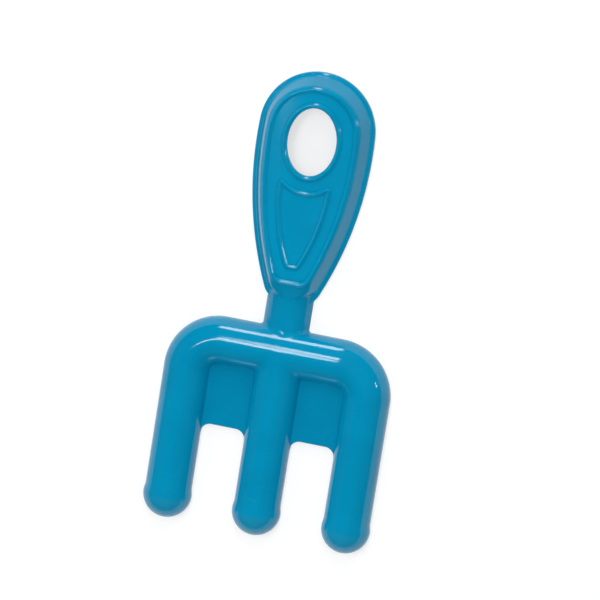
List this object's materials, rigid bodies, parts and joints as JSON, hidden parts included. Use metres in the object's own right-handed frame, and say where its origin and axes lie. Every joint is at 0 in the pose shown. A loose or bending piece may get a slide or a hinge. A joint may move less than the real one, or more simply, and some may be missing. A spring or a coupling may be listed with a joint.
{
  "type": "toy sand rake",
  "caption": "Open-backed moulded toy sand rake with blunt round tines, flat webs between them and a teardrop handle with a hanging hole.",
  "frame": {"origin": "bottom centre of the bounding box: on the plane of the back rims, midway between the tips and the top of the handle", "axes": "+Y towards the handle, -Y towards the tips of the tines, +Z out of the face, +X to the right when the face is seen with the handle up"},
  "size_m": [0.1038, 0.21, 0.012],
  "materials": {
    "blue_plastic": "glossy moulded cyan-blue plastic with fine grain and light scuffs"
  },
  "bodies": {
    "root": {"rake_moulding": "blue_plastic"}
  },
  "joints": []
}
